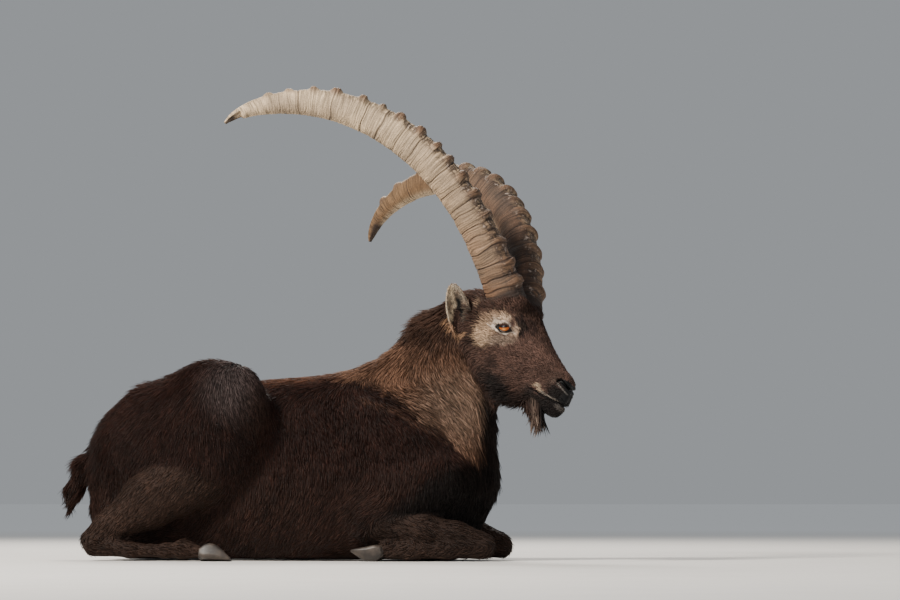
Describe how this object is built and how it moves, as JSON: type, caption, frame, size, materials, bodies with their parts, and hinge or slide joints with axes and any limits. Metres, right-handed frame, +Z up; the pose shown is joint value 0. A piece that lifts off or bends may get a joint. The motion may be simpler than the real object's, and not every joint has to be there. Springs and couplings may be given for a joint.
{
  "type": "alpine ibex",
  "caption": "Adult male alpine ibex at life size, lying on its chest with folded legs and its head raised and turned, with long ridged horns.",
  "frame": {"origin": "centre of the flat on which the brisket rests, on the floor between the forelegs", "axes": "+X forward along the back towards the breast, +Y to the animal's left, +Z up"},
  "size_m": [1.1248, 0.716, 0.9882],
  "materials": {
    "coat": "dense dark brown hair",
    "horn": "ridged grey-brown horn, matte",
    "eye": "wet amber iris",
    "hoof": "dark worn hoof"
  },
  "bodies": {
    "root": {"beard": "coat", "ear_left": "coat", "ear_right": "coat", "eye_left": "eye", "eye_right": "eye", "fore_cannon_left": "coat", "fore_cannon_right": "coat", "fore_hoof_left": "hoof", "fore_hoof_right": "hoof", "forearm_left": "coat", "forearm_right": "coat", "head": "coat", "hind_cannon_left": "coat", "hind_cannon_right": "coat", "hind_hoof_left": "hoof", "hind_hoof_right": "hoof", "horn_left": "horn", "horn_right": "horn", "neck": "coat", "rump": "coat", "shank_left": "coat", "shank_right": "coat", "shoulder_left": "coat", "shoulder_right": "coat", "tail": "coat", "thigh_left": "coat", "thigh_right": "coat", "torso": "coat"}
  },
  "joints": []
}
